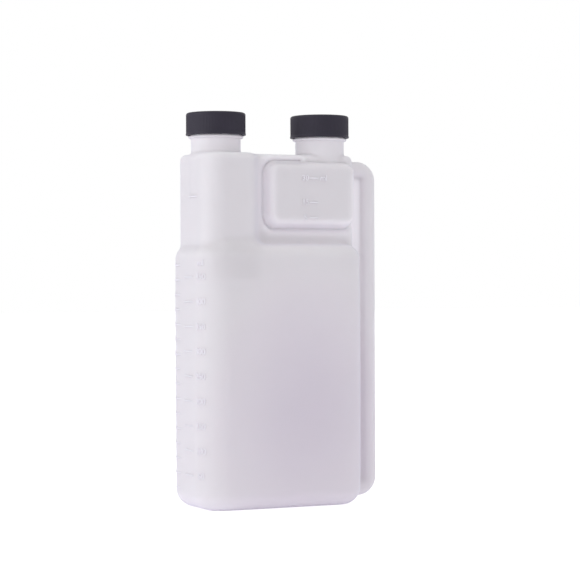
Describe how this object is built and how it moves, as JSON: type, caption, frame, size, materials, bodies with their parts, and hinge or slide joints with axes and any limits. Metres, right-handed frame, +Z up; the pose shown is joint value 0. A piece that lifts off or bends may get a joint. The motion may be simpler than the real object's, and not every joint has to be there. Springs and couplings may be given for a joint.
{
  "type": "twin-neck measuring bottle",
  "caption": "Flat rectangular dispensing bottle with a filler neck, a side dosing chamber fed by an outside tube, raised volume scales and ribbed screw caps.",
  "frame": {"origin": "on the surface the bottle stands on, under the middle of the whole outline from the scale side to the feed tube", "axes": "+Z up along the bottle's height, +X from the filler neck to the dosing neck and feed tube, +Y to the back, through the bottle's thickness"},
  "size_m": [0.1067, 0.05, 0.1991],
  "materials": {
    "natural_plastic": "translucent natural polyethylene, satin, faintly uneven wall",
    "black_plastic": "black moulded polypropylene, satin",
    "liner_foam": "white pressed foam disc"
  },
  "bodies": {
    "bottle": {"bottle": "natural_plastic"},
    "filler_liner": {"filler_cap_liner": "liner_foam"},
    "filler_cap": {"filler_cap": "black_plastic"},
    "dosing_liner": {"dosing_cap_liner": "liner_foam"},
    "dosing_cap": {"dosing_cap": "black_plastic"}
  },
  "joints": [
    {"name": "filler_cap_lift", "type": "slide", "parent": "bottle", "child": "filler_liner", "axis": [0, 0, 1], "range_m": [0, 0.0063]},
    {"name": "filler_cap_turn", "type": "hinge", "parent": "filler_liner", "child": "filler_cap", "pos_m": [-0.03635, 0, 0.193], "axis": [0, 0, 1], "range_deg": [0, 540]},
    {"name": "dosing_cap_lift", "type": "slide", "parent": "bottle", "child": "dosing_liner", "axis": [0, 0, 1], "range_m": [0, 0.0063]},
    {"name": "dosing_cap_turn", "type": "hinge", "parent": "dosing_liner", "child": "dosing_cap", "pos_m": [0.02185, 0, 0.193], "axis": [0, 0, 1], "range_deg": [0, 540]}
  ],
  "couplings": [
    {"joint": "filler_cap_turn", "follows": "filler_cap_lift", "rad_per_m": 1496},
    {"joint": "dosing_cap_turn", "follows": "dosing_cap_lift", "rad_per_m": 1496}
  ]
}
